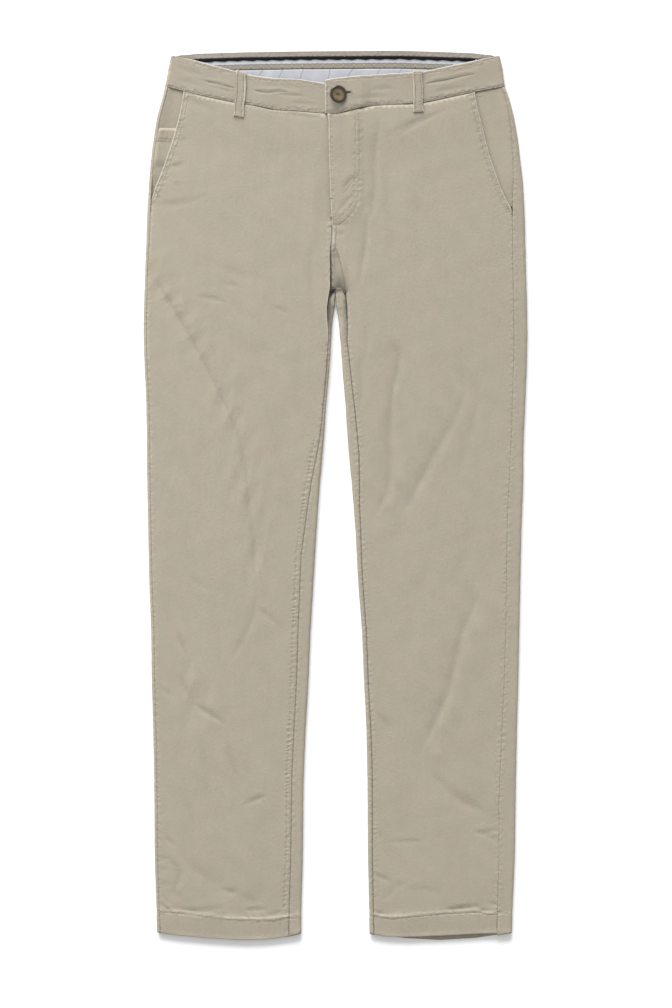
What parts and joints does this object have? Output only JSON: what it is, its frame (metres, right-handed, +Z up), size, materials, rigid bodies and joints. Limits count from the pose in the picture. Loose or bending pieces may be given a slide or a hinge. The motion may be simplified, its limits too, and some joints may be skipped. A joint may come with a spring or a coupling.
{
  "type": "chino trousers",
  "caption": "Flat-laid cotton twill chino trousers with slanted front pockets, a fly with a waist button, belt loops and straight legs.",
  "frame": {"origin": "on the surface the trousers lie on, under the middle of their outline", "axes": "+Z up from the surface, +Y along the legs towards the waist, +X towards the wearer's left side as the front is seen from above"},
  "size_m": [0.4994, 1.1569, 0.0122],
  "materials": {
    "twill": "washed cotton twill",
    "waistband_twill": "washed cotton twill",
    "white_tape": "woven tape",
    "dark_tape": "woven tape with a wavy edge",
    "binding": "cotton binding",
    "striped_lining": "thin cotton shirting with fine stripes",
    "horn": "satin, horn-like"
  },
  "bodies": {
    "root": {"right_front": "twill", "left_front": "twill", "right_back": "twill", "left_back": "twill", "waistband_right": "waistband_twill", "waistband_left": "waistband_twill", "waist_facing": "waistband_twill", "waist_tape_white": "white_tape", "waist_tape_dark": "dark_tape", "waist_binding": "binding", "waist_curtain": "striped_lining", "pocket_facing_right": "twill", "pocket_facing_left": "twill", "coin_pocket": "twill", "fly_shield": "twill", "belt_loop_front_right": "waistband_twill", "belt_loop_front_left": "waistband_twill", "belt_loop_back_centre": "waistband_twill", "belt_loop_back_right": "waistband_twill", "belt_loop_back_left": "waistband_twill", "waist_button": "horn"}
  },
  "joints": []
}
